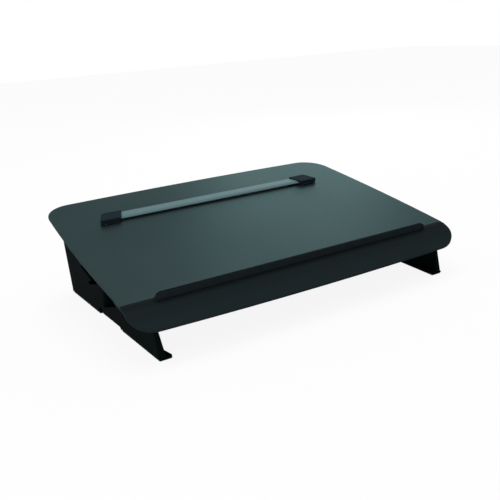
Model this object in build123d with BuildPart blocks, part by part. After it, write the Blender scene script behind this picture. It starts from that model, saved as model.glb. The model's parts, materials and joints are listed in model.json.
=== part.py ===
from build123d import *
import os
from math import cos, sin, tan, radians

os.makedirs("parts", exist_ok=True)

# A free-standing writing slope: a thin steel board on a folded steel stand.
# The board glides towards the user on two rails, and the rails sit on a cradle
# that tilts about two screws near the front. A prop rod in the hooked slots of
# the side plates holds the cradle up. A magnetic document bar slides on the board.
# X is to the right, Y to the back and Z up, with the origin on the desk.

# Driving dimensions, in millimetres and degrees
TILT = 10.8             # slope of the board at its lowest setting
EDGE_Y = -132.2         # where the board meets its front lip, from the middle
EDGE_Z = 66.6           # height of the board's top there
BOARD_T = 2.0
BOARD_FRONT_HALF = 253.8
BOARD_MID_HALF = 252.6  # half way up the slope
BOARD_BACK_HALF = 243.3
BOARD_DEPTH = 302.2     # up the slope, at the sides
BOARD_CROWN = 4.9       # how far the back edge bows out in the middle
BOARD_CORNER = 41.0
BOARD_EDGE = 0.45        # rounding of the board's upper edge
SIDE_X = 225.0          # outer face of a side plate
SHEET = 2.5             # thickness of the side plates
FOOT_T = 1.0            # rubber under the feet
GLIDE = 70.0            # travel of the board towards the user
RUN_GAP = 0.3           # running clearance of the glide
FIT_GAP = 0.08          # radial clearance of pins, screws and rivets

# The board's slope: x, distance up the slope from the lip, height over the board
SLOPE = Plane(origin=(0, EDGE_Y, EDGE_Z), x_dir=(1, 0, 0),
              z_dir=(0, -sin(radians(TILT)), cos(radians(TILT))))
SLOPE_AXIS = Axis(SLOPE.origin, SLOPE.z_dir)
# Side view along the slope: distance up the slope, height over the board
SIDE = Plane(origin=(0, EDGE_Y, EDGE_Z), x_dir=(0, cos(radians(TILT)), sin(radians(TILT))),
             z_dir=(1, 0, 0))
# Side view of the stand: distance back from the lip's joint, height over the desk
STAND = Plane(origin=(0, EDGE_Y, 0), x_dir=(0, 1, 0), z_dir=(1, 0, 0))

# Side plates, in the side view of the stand
TOP_H = -7.0            # top edge of the rear part, below the board's top
FRONT_Y = -29.3         # foot of the leaning front edge
FRONT_LEAN = 11.3       # how far that edge leans back, in degrees
FRONT_TOP = 35.3
EAR_POINTS = [(-21.6, 45.3), (-17.8, 52.0), (-6.8, 53.0), (22.0, 54.0)]
EAR_ROUND = 5.0
FRONT_FOOT_END = 83.1
ARCH_START = 88.1       # the underside is raised between the feet
ARCH_END = 145.7
ARCH_Z = 4.2
NOTCH_POINTS = [(159.2, 8.0), (155.7, 9.8), (148.2, 9.8)]
REAR_FOOT_START = 157.2
REAR_FOOT_Y = 267.0
REAR_LEAN = 0.178       # lean of the rear edge, as a ratio
REAR_ROUND = 6.0
SLOT_POINTS = [(215.2, 52.4), (178.5, 42.9), (193.5, 35.5), (185.7, 33.9), (155.2, 42.3), (151.7, 49.3),
               (177.2, 55.8), (191.3, 69.5), (210.7, 69.5)]
HOOK_ROUND = 1.0
SLOT_ROUND = 3.0
FOLD_ROUND = 2.0        # where the low part meets the fold
FLANGE = 14.0           # width of the rear foot's flange
FLANGE_FRONT = 17.6     # the front foot's flange tapers from this width
FLANGE_TAPER_END = 4.0
FLANGE_ROUND = 3.0
RETURN = 5.2            # width of the return at the front edge
RETURN_FOOT = 9.0
RETURN_LENGTH = 33.0
FOOT_BEND = 2.7         # outer radii of the bends
FRONT_BEND = 2.7
FOLD_BEND = 5.0

# The fold at the leaning front edge of the rear part, and the front edge's return
LEAN = 15.5
FOLD_Y = 136.6
FOLD_Z = 15.0
FOLD_TOP = 44.0
FOLD_FLANGE = 18.0
FOLD = Plane(origin=(0, EDGE_Y + FOLD_Y, FOLD_Z), x_dir=(1, 0, 0),
             z_dir=(0, -cos(radians(LEAN)), -sin(radians(LEAN))))
FRONT = Plane(origin=(0, EDGE_Y + FRONT_Y, FOOT_T), x_dir=(1, 0, 0),
              z_dir=(0, -cos(radians(FRONT_LEAN)), sin(radians(FRONT_LEAN))))

# Cross panel, rear tie, rubber and nylon of the stand
PANEL_T = 1.5
PANEL_HALF = 219.4
PANEL_BOTTOM = -9.0     # down the fold, below the bend's start
PANEL_LIP_HALF = 200.0
PANEL_LIP = 10.0
TIE_HALF = 221.2
TIE_BACK = 261.0
TIE_FOOT_DEPTH = 16.0
TIE_TOP_DEPTH = 14.0
TIE_TOP = 40.0
TIE_WALL = 2.0
TIE_SCREW_X = 9.0       # from the outer face of the side plate
TIE_SCREW_Y = 252.0
TIE_SCREW_R = 2.0
TIE_SCREW_HEAD_R = 3.8
TIE_SCREW_HEAD_T = 2.2
TIE_SCREW_SUNK = 0.2
RIVET_R = 2.0
RIVET_HEAD_R = 3.5
RIVET_HEAD_T = 1.0
RIVET_TAIL_T = 1.2
RIVET_X = 11.0          # from the outer face of the side plate
RIVET_VS = (8.0, 36.0)  # up the fold
PAD_INSET = 0.6         # from the outer face and the ends of a foot
PAD_ROUND = 1.2
STRIP_START = 132.2
STRIP_END = 279.5
STRIP_GRIP = 5.0        # how far a glide strip reaches down the sheet
STRIP_WALL = 1.2
STRIP_FIT = 0.02

# Front pivot of the cradle: screw, nut, bush and ear
PIVOT_Y = -12.8
PIVOT_Z = 44.3
PIVOT_S = PIVOT_Y * cos(radians(TILT)) + (PIVOT_Z - EDGE_Z) * sin(radians(TILT))
PIVOT_H = (PIVOT_Z - EDGE_Z) * cos(radians(TILT)) - PIVOT_Y * sin(radians(TILT))
PIVOT_R = 3.0
PIVOT_HEAD_R = 5.5
PIVOT_HEAD_T = 2.4
PIVOT_TAIL = 5.0
NUT_R = 5.5
NUT_T = 3.5
NUT_GAP = 0.5
BUSH_R = 4.5
BUSH_FLANGE_R = 6.5
BUSH_GAP = 0.2
BUSH_PROUD = 0.3
EAR_OUTER = 217.6
EAR_T = 2.5
EAR_R = 8.0

# Beams and rails of the cradle, measured from the board's top
BEAM_TOP = -16.0
BEAM_BOTTOM = -26.0
BEAM_WALL = 2.0
RAIL_X = 150.0
RAIL_WALL = 2.0
RAIL_HALF = 11.0
RAIL_TOP = -5.2
RAIL_START = 8.0
RAIL_END = 286.0
STEM_HALF = 4.0
RUNNER_START = 22.0
RUNNER_END = RAIL_END - 5.5
RAIL_BUFFER_T = 5.0
RAIL_BUFFER_GAP = 0.05

# The prop: hinge, arms and rod
PROP_S = 137.2
PROP_H = -22.0
PROP_LENGTH = 64.8
PROP_REST = 17.4        # how far the prop hangs below the slope's direction at rest
ROD_S = PROP_S + PROP_LENGTH * cos(radians(PROP_REST))
ROD_H = PROP_H - PROP_LENGTH * sin(radians(PROP_REST))
ROD_R = 3.0
ROD_PROUD = 0.8         # beyond the side plates
ROD_CAP_R = 5.0
ROD_CAP_T = 2.6
COLLAR_R = 5.5
COLLAR_T = 4.0
COLLAR_GAP = 0.1
COLLAR_FIT = 0.02
ARM_OUTER = 214.1
ARM_T = 3.0
ARM_R = 6.5
PIN_HEAD_R = 4.6
PIN_TAIL_R = 3.8
PIN_HEAD_T = 1.6
PIN_GAP = 0.2
MID_EAR_OUTER = 210.6
MID_EAR_HALF = 5.0
MID_EAR_DROP = 7.0
FRONT_BEAM = (4.0, 28.0)
MID_BEAM = (PROP_S - 12.0, PROP_S + 12.0)
REAR_BEAM = (229.0, 253.0)
REAR_BEAM_HALF = 200.0
BEAMS = (FRONT_BEAM, MID_BEAM, REAR_BEAM)

# The buffer and the block that stop the glide
BUFFER_S = 16.0
BUFFER_WIDTH = 30.0
BUFFER_DEPTH = 10.0
BUFFER_T = 8.0
STOP_WIDTH = 36.0
STOP_DEPTH = 10.0
STOP_T = 11.0
STOP_GAP = 0.5
STOP_S = BUFFER_S + (BUFFER_DEPTH + STOP_DEPTH) / 2 + GLIDE + STOP_GAP
BLOCK_ROUND = 2.0

# Front lip: an arc that turns down from the board, then a straight apron
LIP_R = 39.0
LIP_TURN = 32.5
LIP_APRON = 26.3
LIP_T = 2.6
LIP_TONGUE = 16.0
LIP_CORNER_X = 34.0     # half axes of the lip's corners, seen square to the slope
LIP_CORNER_S = 22.0
LIP_FRONT_S = -39.3     # the lower edge at its corners
LIP_CROWN = 2.2         # how far the lower edge bows out between them
LIP_EDGE = 0.9          # rounding of that edge
LIP_NEAR = 0.05         # reach for picking it out
LIP_ARC_S = -LIP_R * sin(radians(LIP_TURN))
LIP_ARC_H = -LIP_R * (1 - cos(radians(LIP_TURN)))
LIP_END_S = LIP_ARC_S - LIP_APRON * cos(radians(LIP_TURN))
LIP_END_H = LIP_ARC_H - LIP_APRON * sin(radians(LIP_TURN))

# Paper ledge, standing in a shallow seat at the back of the lip
LEDGE_HALF = 212.6
LEDGE_FRONT = -7.0
LEDGE_T = 3.8
LEDGE_TOP = 8.6
LEDGE_ROUND = 8.0
LEDGE_EDGE = 0.6
LEDGE_S = LEDGE_FRONT + LEDGE_T / 2
SEAT_DEPTH = 1.2
SEAT_GAP = 0.2

# Screws under the lip
LIP_SCREW_XS = (-210, -126, -42, 42, 126, 210)
LIP_SCREW_R = 1.5
LIP_SCREW_HEAD_R = 2.9
LIP_SCREW_HEAD_T = 1.8
LEDGE_SCREW_XS = (-180, -90, 0, 90, 180)
LEDGE_SCREW_R = 1.0
LEDGE_SCREW_HEAD_R = 2.4
LEDGE_SCREW_HEAD_T = 1.6
LEDGE_SCREW_SEAT = -4.2
LEDGE_SCREW_REACH = 5.0

# Document bar
BAR_X = -3.5            # the bar is set a little left of the middle
BAR_MID = 223.6
BAR_STRIP_FRONT = -8.0  # along the slope, from the bar's middle
BAR_STRIP_FLAT = -2.0   # here the flat top turns down into the rounded front
BAR_STRIP_BACK = 10.0
BAR_STRIP_NOSE = 3.2    # height of the rounded front's lower end
BAR_STRIP_BOTTOM = 2.4
BAR_STRIP_TOP = 5.2
BAR_STRIP_HALF = 168.0
BAR_STRIP_EDGE = 0.9
BAR_FIT = 0.05
CAP_HALF_DEPTH = 11.8
CAP_INNER = 151.5
CAP_WIDTH = 31.0
CAP_SKEW = 5.0
CAP_BOTTOM = 0.8
CAP_TOP = 7.2
CAP_ROUND = 2.2
CAP_EDGE = 1.1
MAGNET_R = 5.0
MAGNET_T = 1.6
MAGNET_PROUD = 0.4
MAGNET_PLACES = [(-CAP_INNER - 9.5, 0), (-CAP_INNER - 21.5, 0)]
SLIDE_PAD_S = 9.2       # from the bar's middle
SLIDE_PAD_WIDTH = 24.0
SLIDE_PAD_DEPTH = 3.0
SLIDE_PAD_GAP = 0.2

# Places that recur on both sides
PIVOT_PLACE = (PIVOT_Y, PIVOT_Z)
LIP_SCREWS = [(x, LIP_TONGUE / 2) for x in LIP_SCREW_XS]
LEDGE_SCREWS = [(x, LEDGE_S) for x in LEDGE_SCREW_XS]
PANEL_RIVETS = [(side * (SIDE_X - RIVET_X), v) for side in (-1, 1) for v in RIVET_VS]
TIE_SCREWS = [(side * (SIDE_X - TIE_SCREW_X), EDGE_Y + TIE_SCREW_Y) for side in (-1, 1)]
RAIL_RIVETS = [(side * RAIL_X, (start + end) / 2) for side in (-1, 1) for start, end in BEAMS]


# Board: one sheet of steel with large back corners and slightly bowed edges
with BuildPart() as board_plate:
    with BuildSketch(SLOPE.offset(-BOARD_T)) as board_outline:
        with BuildLine():
            Line((-BOARD_FRONT_HALF, 0), (BOARD_FRONT_HALF, 0))
            ThreePointArc((BOARD_FRONT_HALF, 0), (BOARD_MID_HALF, BOARD_DEPTH / 2),
                          (BOARD_BACK_HALF, BOARD_DEPTH))
            ThreePointArc((BOARD_BACK_HALF, BOARD_DEPTH), (0, BOARD_DEPTH + BOARD_CROWN),
                          (-BOARD_BACK_HALF, BOARD_DEPTH))
            ThreePointArc((-BOARD_BACK_HALF, BOARD_DEPTH), (-BOARD_MID_HALF, BOARD_DEPTH / 2),
                          (-BOARD_FRONT_HALF, 0))
        make_face()
        fillet(board_outline.vertices().group_by(Axis.Y)[-1], BOARD_CORNER)
    extrude(amount=BOARD_T)
    fillet(board_plate.faces().sort_by(SLOPE_AXIS)[-1].edges(), BOARD_EDGE)
board_plate.part.label = "board_plate"
export_step(board_plate.part, "parts/board_plate.step")

# Front lip: a moulded shell that carries the board's front edge on a tongue
corner_x = BOARD_FRONT_HALF - LIP_CORNER_X
corner_s = LIP_FRONT_S + LIP_CORNER_S


def on_lip_rim(edge):
    """Whether an edge runs along the lip's lower edge or round its corners, on the outer surface."""
    middle = SLOPE.to_local_coords(edge @ 0.5)
    if middle.Y > LIP_ARC_S:
        surface = (LIP_R ** 2 - middle.Y ** 2) ** 0.5 - LIP_R
    else:
        surface = LIP_ARC_H + (middle.Y - LIP_ARC_S) * tan(radians(LIP_TURN))
    in_front = middle.Y < corner_s and abs(middle.Y - LIP_ARC_S) > LIP_NEAR
    return in_front and abs(middle.Z - surface) < LIP_NEAR


with BuildPart() as front_lip:
    with BuildSketch(SIDE.offset(-BOARD_FRONT_HALF)):
        with BuildLine():
            RadiusArc((0, 0), (LIP_ARC_S, LIP_ARC_H), -LIP_R)
            Line((LIP_ARC_S, LIP_ARC_H), (LIP_END_S, LIP_END_H))
            inner_end_s = LIP_END_S + LIP_T * sin(radians(LIP_TURN))
            inner_end_h = LIP_END_H - LIP_T * cos(radians(LIP_TURN))
            inner_arc_s = LIP_ARC_S + LIP_T * sin(radians(LIP_TURN))
            inner_arc_h = LIP_ARC_H - LIP_T * cos(radians(LIP_TURN))
            Line((LIP_END_S, LIP_END_H), (inner_end_s, inner_end_h))
            Line((inner_end_s, inner_end_h), (inner_arc_s, inner_arc_h))
            RadiusArc((inner_arc_s, inner_arc_h), (0, -BOARD_T - LIP_T), LIP_R - BOARD_T - LIP_T)
            Line((0, -BOARD_T - LIP_T), (LIP_TONGUE, -BOARD_T - LIP_T))
            Line((LIP_TONGUE, -BOARD_T - LIP_T), (LIP_TONGUE, -BOARD_T))
            Line((LIP_TONGUE, -BOARD_T), (0, -BOARD_T))
            Line((0, -BOARD_T), (0, 0))
        make_face()
    extrude(amount=2 * BOARD_FRONT_HALF)
    with BuildSketch(SLOPE.offset(2 * LIP_END_H)):
        with BuildLine():
            ThreePointArc((-corner_x, LIP_FRONT_S), (0, LIP_FRONT_S - LIP_CROWN), (corner_x, LIP_FRONT_S))
            EllipticalCenterArc((corner_x, corner_s), LIP_CORNER_X, LIP_CORNER_S, start_angle=270,
                                arc_size=90)
            Polyline((BOARD_FRONT_HALF, corner_s), (BOARD_FRONT_HALF, LIP_TONGUE),
                     (-BOARD_FRONT_HALF, LIP_TONGUE), (-BOARD_FRONT_HALF, corner_s))
            EllipticalCenterArc((-corner_x, corner_s), LIP_CORNER_X, LIP_CORNER_S, start_angle=180,
                                arc_size=90)
        make_face()
    extrude(amount=-3 * LIP_END_H, mode=Mode.INTERSECT)
    with BuildSketch(SLOPE.offset(-SEAT_DEPTH)):
        with Locations((0, LEDGE_S)):
            Rectangle(2 * (LEDGE_HALF + SEAT_GAP), LEDGE_T + 2 * SEAT_GAP)
    extrude(amount=2 * SEAT_DEPTH, mode=Mode.SUBTRACT)
    with BuildSketch(SLOPE.offset(-BOARD_T)):
        with Locations(*LIP_SCREWS):
            Circle(LIP_SCREW_R + FIT_GAP)
    extrude(amount=-LIP_T, mode=Mode.SUBTRACT)
    with BuildSketch(SLOPE.offset(-SEAT_DEPTH)):
        with Locations(*LEDGE_SCREWS):
            Circle(LEDGE_SCREW_R + FIT_GAP)
    extrude(amount=LEDGE_SCREW_SEAT + SEAT_DEPTH, mode=Mode.SUBTRACT)
    with BuildSketch(SLOPE.offset(LEDGE_SCREW_SEAT)):
        with Locations(*LEDGE_SCREWS):
            Circle(LEDGE_SCREW_HEAD_R + SEAT_GAP)
    extrude(amount=-2 * LIP_T, mode=Mode.SUBTRACT)
    fillet([edge for edge in front_lip.edges() if on_lip_rim(edge)], LIP_EDGE)
front_lip.part.label = "front_lip"
export_step(front_lip.part, "parts/front_lip.step")

# Paper ledge: a strip on edge with rounded ends, let into the lip
with BuildPart() as paper_ledge:
    with BuildSketch(Plane(origin=SLOPE.from_local_coords((0, LEDGE_FRONT, 0)), x_dir=(1, 0, 0),
                           z_dir=SLOPE.y_dir)) as ledge_face:
        with BuildLine():
            Polyline((-LEDGE_HALF, SEAT_DEPTH), (LEDGE_HALF, SEAT_DEPTH), (LEDGE_HALF, -LEDGE_TOP),
                     (-LEDGE_HALF, -LEDGE_TOP), close=True)
        make_face()
        fillet(ledge_face.vertices().group_by(Axis.Y)[0], LEDGE_ROUND)
    extrude(amount=LEDGE_T)
    fillet(paper_ledge.edges().filter_by(Axis.X).group_by(SLOPE_AXIS)[-1], LEDGE_EDGE)
    with BuildSketch(SLOPE.offset(-SEAT_DEPTH)):
        with Locations(*LEDGE_SCREWS):
            Circle(LEDGE_SCREW_R + FIT_GAP)
    extrude(amount=SEAT_DEPTH + LEDGE_SCREW_REACH + SEAT_GAP, mode=Mode.SUBTRACT)
paper_ledge.part.label = "paper_ledge"
export_step(paper_ledge.part, "parts/paper_ledge.step")

# Side plate: folded steel, a low triangle in front and a tall trapezoid behind,
# with a foot flange under each, a return at the front and a fold at the rear part
fold_back_y = FOLD_Y + FOLD_Z * tan(radians(LEAN))
rise = tan(radians(TILT))
top_at_zero = EDGE_Z + TOP_H / cos(radians(TILT))
fold_top_y = (fold_back_y - top_at_zero * tan(radians(LEAN))) / (1 + rise * tan(radians(LEAN)))
rear_top_y = (REAR_FOOT_Y + REAR_LEAN * top_at_zero) / (1 - REAR_LEAN * rise)
front_top_y = FRONT_Y + (FRONT_TOP - FOOT_T) * tan(radians(FRONT_LEAN))


def near(shape_list, point, reach=0.6):
    """The vertices of a sketch that lie at the given point of its plane."""
    return shape_list.filter_by(lambda v: (Vector(v.X, v.Y) - Vector(*point)).length < reach)


# Bends of the side plate: section plane at the outer corner, length, outer radius
front_heel = FRONT.from_local_coords((-SIDE_X, SHEET / 3, 0))
BENDS = [(Plane(origin=(-SIDE_X, EDGE_Y + FOLD_Y, FOLD_Z), x_dir=(1, 0, 0), z_dir=FOLD.y_dir),
          FOLD_TOP, FOLD_BEND),
         (Plane(origin=front_heel, x_dir=(1, 0, 0), z_dir=FRONT.y_dir),
          RETURN_LENGTH - SHEET / 3, FRONT_BEND),
         (Plane(origin=(-SIDE_X, EDGE_Y + FRONT_FOOT_END, FOOT_T), x_dir=(1, 0, 0), z_dir=(0, -1, 0)),
          FRONT_FOOT_END - FRONT_Y, FOOT_BEND),
         (Plane(origin=(-SIDE_X, EDGE_Y + REAR_FOOT_Y, FOOT_T), x_dir=(1, 0, 0), z_dir=(0, -1, 0)),
          REAR_FOOT_Y - REAR_FOOT_START, FOOT_BEND)]

with BuildPart() as left_side_plate:
    with BuildSketch(STAND.offset(-SIDE_X)) as side_outline:
        with BuildLine():
            Polyline((FRONT_Y, FOOT_T), (front_top_y, FRONT_TOP), *EAR_POINTS, (FOLD_Y, FOLD_Z),
                     (fold_top_y, top_at_zero + rise * fold_top_y),
                     (rear_top_y, top_at_zero + rise * rear_top_y), (REAR_FOOT_Y, FOOT_T),
                     (REAR_FOOT_START, FOOT_T), *NOTCH_POINTS, (ARCH_END, ARCH_Z),
                     (ARCH_START, ARCH_Z), (FRONT_FOOT_END, FOOT_T), (FRONT_Y, FOOT_T))
        make_face()
        for point in EAR_POINTS:
            fillet(near(side_outline.vertices(), point), EAR_ROUND)
        fillet(near(side_outline.vertices(), (rear_top_y, top_at_zero + rise * rear_top_y)), REAR_ROUND)
        fillet(near(side_outline.vertices(), (FOLD_Y, FOLD_Z)), FOLD_ROUND)
        with BuildLine():
            Polyline(*SLOT_POINTS, close=True)
        make_face(mode=Mode.SUBTRACT)
        for point in SLOT_POINTS[2:4]:
            fillet(near(side_outline.vertices(), point), HOOK_ROUND)
        for point in SLOT_POINTS[4:]:
            fillet(near(side_outline.vertices(), point), SLOT_ROUND)
        with Locations(PIVOT_PLACE):
            Circle(PIVOT_R + FIT_GAP, mode=Mode.SUBTRACT)
    extrude(amount=SHEET)
    with BuildSketch(Plane.XY.offset(FOOT_T)) as front_flange:
        with BuildLine():
            Polyline((-SIDE_X, EDGE_Y + FRONT_Y), (-SIDE_X + FLANGE_FRONT, EDGE_Y + FRONT_Y),
                     (-SIDE_X + FLANGE_TAPER_END, EDGE_Y + FRONT_FOOT_END),
                     (-SIDE_X, EDGE_Y + FRONT_FOOT_END), close=True)
        make_face()
        fillet(near(front_flange.vertices(), (-SIDE_X + FLANGE_FRONT, EDGE_Y + FRONT_Y)), FLANGE_ROUND)
    extrude(amount=SHEET)
    with BuildSketch(Plane.XY.offset(FOOT_T)):
        with Locations((-SIDE_X + FLANGE / 2, EDGE_Y + (REAR_FOOT_START + REAR_FOOT_Y) / 2)):
            Rectangle(FLANGE, REAR_FOOT_Y - REAR_FOOT_START)
    extrude(amount=SHEET)
    with BuildSketch(FRONT):
        with BuildLine():
            Polyline((-SIDE_X, SHEET / 2), (-SIDE_X + RETURN_FOOT, SHEET / 2),
                     (-SIDE_X + RETURN, RETURN_LENGTH), (-SIDE_X, RETURN_LENGTH), close=True)
        make_face()
    extrude(amount=-SHEET)
    with BuildSketch(FOLD):
        with Locations((-SIDE_X + FOLD_FLANGE / 2, FOLD_TOP / 2)):
            Rectangle(FOLD_FLANGE, FOLD_TOP)
        with Locations(*[(-SIDE_X + RIVET_X, v) for v in RIVET_VS]):
            Circle(RIVET_R + FIT_GAP, mode=Mode.SUBTRACT)
    extrude(amount=-SHEET)
    for section, length, outer in BENDS:
        inner = outer - SHEET
        with BuildSketch(section):
            with BuildLine():
                Polyline((SHEET, SHEET + inner), (SHEET, SHEET), (SHEET + inner, SHEET))
                CenterArc((outer, outer), inner, 180, 90)
            make_face()
        extrude(amount=length)
        with BuildSketch(section):
            with BuildLine():
                Polyline((0, outer), (0, 0), (outer, 0))
                CenterArc((outer, outer), outer, 180, 90)
            make_face()
        extrude(amount=length, mode=Mode.SUBTRACT)
    with BuildSketch(Plane.XY.offset(FOOT_T)):
        with Locations((-SIDE_X + TIE_SCREW_X, EDGE_Y + TIE_SCREW_Y)):
            Circle(TIE_SCREW_R + FIT_GAP)
    extrude(amount=SHEET, mode=Mode.SUBTRACT)
left_side_plate.part.label = "left_side_plate"
export_step(left_side_plate.part, "parts/left_side_plate.step")
with BuildPart() as right_side_plate:
    mirror(left_side_plate.part, about=Plane.YZ)
right_side_plate.part.label = "right_side_plate"
export_step(right_side_plate.part, "parts/right_side_plate.step")

# Cross panel: sheet steel riveted behind the folds of both side plates
with BuildPart() as cross_panel:
    with BuildSketch(FOLD.offset(-SHEET)):
        with Locations((0, (FOLD_TOP + PANEL_BOTTOM) / 2)):
            Rectangle(2 * PANEL_HALF, FOLD_TOP - PANEL_BOTTOM)
        with Locations(*PANEL_RIVETS):
            Circle(RIVET_R + FIT_GAP, mode=Mode.SUBTRACT)
    extrude(amount=-PANEL_T)
    with BuildSketch(FOLD.offset(-SHEET - PANEL_T)):
        with Locations((0, FOLD_TOP - PANEL_T / 2)):
            Rectangle(2 * PANEL_LIP_HALF, PANEL_T)
    extrude(amount=-PANEL_LIP)
cross_panel.part.label = "cross_panel"
export_step(cross_panel.part, "parts/cross_panel.step")

# Rear tie: a steel channel across the rear feet
tie_z = FOOT_T + SHEET
with BuildPart() as rear_tie:
    with BuildSketch(STAND.offset(-TIE_HALF)):
        with BuildLine():
            Polyline((TIE_BACK - TIE_FOOT_DEPTH, tie_z), (TIE_BACK, tie_z), (TIE_BACK, TIE_TOP),
                     (TIE_BACK - TIE_TOP_DEPTH, TIE_TOP), (TIE_BACK - TIE_TOP_DEPTH, TIE_TOP - TIE_WALL),
                     (TIE_BACK - TIE_WALL, TIE_TOP - TIE_WALL), (TIE_BACK - TIE_WALL, tie_z + TIE_WALL),
                     (TIE_BACK - TIE_FOOT_DEPTH, tie_z + TIE_WALL), close=True)
        make_face()
    extrude(amount=2 * TIE_HALF)
    with BuildSketch(Plane.XY.offset(tie_z)):
        with Locations(*TIE_SCREWS):
            Circle(TIE_SCREW_R + FIT_GAP)
    extrude(amount=TIE_WALL, mode=Mode.SUBTRACT)
rear_tie.part.label = "rear_tie"
export_step(rear_tie.part, "parts/rear_tie.step")

# Screws that hold the tie down on the foot flanges
with BuildPart() as tie_screws:
    with BuildSketch(Plane.XY.offset(FOOT_T + TIE_SCREW_SUNK)):
        with Locations(*TIE_SCREWS):
            Circle(TIE_SCREW_R)
    extrude(amount=SHEET + TIE_WALL - TIE_SCREW_SUNK)
    with BuildSketch(Plane.XY.offset(tie_z + TIE_WALL)):
        with Locations(*TIE_SCREWS):
            Circle(TIE_SCREW_HEAD_R)
    extrude(amount=TIE_SCREW_HEAD_T)
tie_screws.part.label = "tie_screws"
export_step(tie_screws.part, "parts/tie_screws.step")

# Rivets through the folds and the cross panel
with BuildPart() as panel_rivets:
    with BuildSketch(FOLD):
        with Locations(*PANEL_RIVETS):
            Circle(RIVET_R)
    extrude(amount=-SHEET - PANEL_T)
    with BuildSketch(FOLD):
        with Locations(*PANEL_RIVETS):
            Circle(RIVET_HEAD_R)
    extrude(amount=RIVET_HEAD_T)
    with BuildSketch(FOLD.offset(-SHEET - PANEL_T)):
        with Locations(*PANEL_RIVETS):
            Circle(RIVET_HEAD_R)
    extrude(amount=-RIVET_TAIL_T)
panel_rivets.part.label = "panel_rivets"
export_step(panel_rivets.part, "parts/panel_rivets.step")

# Foot pads: rubber strips glued under the foot flanges
PAD_OUTLINES = [((PAD_INSET, FRONT_Y + PAD_INSET), (FLANGE_FRONT - PAD_INSET, FRONT_Y + PAD_INSET),
                 (FLANGE_TAPER_END, FRONT_FOOT_END - PAD_INSET), (PAD_INSET, FRONT_FOOT_END - PAD_INSET)),
                ((PAD_INSET, REAR_FOOT_START + PAD_INSET),
                 (FLANGE - PAD_INSET, REAR_FOOT_START + PAD_INSET),
                 (FLANGE - PAD_INSET, REAR_FOOT_Y - PAD_INSET), (PAD_INSET, REAR_FOOT_Y - PAD_INSET))]
with BuildPart() as foot_pads:
    for outline in PAD_OUTLINES:
        with BuildSketch(Plane.XY) as pad_sketch:
            with BuildLine():
                Polyline(*[(-SIDE_X + x, EDGE_Y + y) for x, y in outline], close=True)
            make_face()
            fillet(pad_sketch.vertices(), PAD_ROUND)
        extrude(amount=FOOT_T)
    mirror(about=Plane.YZ)
foot_pads.part.label = "foot_pads"
export_step(foot_pads.part, "parts/foot_pads.step")

# Glide strips: nylon edging clipped over the top of the side plates
with BuildPart() as left_glide_strip:
    with BuildSketch(SLOPE.offset(TOP_H - STRIP_GRIP)):
        with Locations((-SIDE_X + SHEET / 2, (STRIP_START + STRIP_END) / 2)):
            Rectangle(SHEET + 2 * STRIP_WALL, STRIP_END - STRIP_START)
    extrude(amount=STRIP_GRIP - TOP_H - BOARD_T - RUN_GAP)
    with BuildSketch(SLOPE.offset(TOP_H - STRIP_GRIP)):
        with Locations((-SIDE_X + SHEET / 2, (STRIP_START + STRIP_END) / 2)):
            Rectangle(SHEET + 2 * STRIP_FIT, STRIP_END - STRIP_START)
    extrude(amount=STRIP_GRIP + STRIP_FIT, mode=Mode.SUBTRACT)
left_glide_strip.part.label = "left_glide_strip"
export_step(left_glide_strip.part, "parts/left_glide_strip.step")
with BuildPart() as right_glide_strip:
    mirror(left_glide_strip.part, about=Plane.YZ)
right_glide_strip.part.label = "right_glide_strip"
export_step(right_glide_strip.part, "parts/right_glide_strip.step")

# Pivot screws, their nuts and the flanged bushes that the cradle turns on
with BuildPart() as pivot_screws:
    with BuildSketch(STAND.offset(-SIDE_X)):
        with Locations(PIVOT_PLACE):
            Circle(PIVOT_R)
    extrude(amount=SIDE_X - EAR_OUTER + EAR_T + PIVOT_TAIL)
    with BuildSketch(STAND.offset(-SIDE_X)):
        with Locations(PIVOT_PLACE):
            Circle(PIVOT_HEAD_R)
    extrude(amount=-PIVOT_HEAD_T)
    mirror(about=Plane.YZ)
pivot_screws.part.label = "pivot_screws"
export_step(pivot_screws.part, "parts/pivot_screws.step")
with BuildPart() as pivot_nuts:
    with BuildSketch(STAND.offset(-EAR_OUTER + EAR_T + NUT_GAP)):
        with Locations(PIVOT_PLACE):
            RegularPolygon(NUT_R, 6)
            Circle(PIVOT_R + FIT_GAP, mode=Mode.SUBTRACT)
    extrude(amount=NUT_T)
    mirror(about=Plane.YZ)
pivot_nuts.part.label = "pivot_nuts"
export_step(pivot_nuts.part, "parts/pivot_nuts.step")
with BuildPart() as pivot_bushes:
    with BuildSketch(STAND.offset(-SIDE_X + SHEET + BUSH_GAP)):
        with Locations(PIVOT_PLACE):
            Circle(BUSH_FLANGE_R)
            Circle(PIVOT_R + FIT_GAP, mode=Mode.SUBTRACT)
    extrude(amount=SIDE_X - SHEET - EAR_OUTER - BUSH_GAP)
    with BuildSketch(STAND.offset(-EAR_OUTER)):
        with Locations(PIVOT_PLACE):
            Circle(BUSH_R)
            Circle(PIVOT_R + FIT_GAP, mode=Mode.SUBTRACT)
    extrude(amount=EAR_T + BUSH_PROUD)
    mirror(about=Plane.YZ)
pivot_bushes.part.label = "pivot_bushes"
export_step(pivot_bushes.part, "parts/pivot_bushes.step")


def beam_points(start, end):
    """A channel open downwards, in the side view along the slope."""
    return ((start, BEAM_BOTTOM), (start, BEAM_TOP), (end, BEAM_TOP), (end, BEAM_BOTTOM),
            (end - BEAM_WALL, BEAM_BOTTOM), (end - BEAM_WALL, BEAM_TOP - BEAM_WALL),
            (start + BEAM_WALL, BEAM_TOP - BEAM_WALL), (start + BEAM_WALL, BEAM_BOTTOM))


def beam_rivets(beam):
    """Where the two rails cross a beam."""
    return [(side * RAIL_X, sum(beam) / 2) for side in (-1, 1)]


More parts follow.
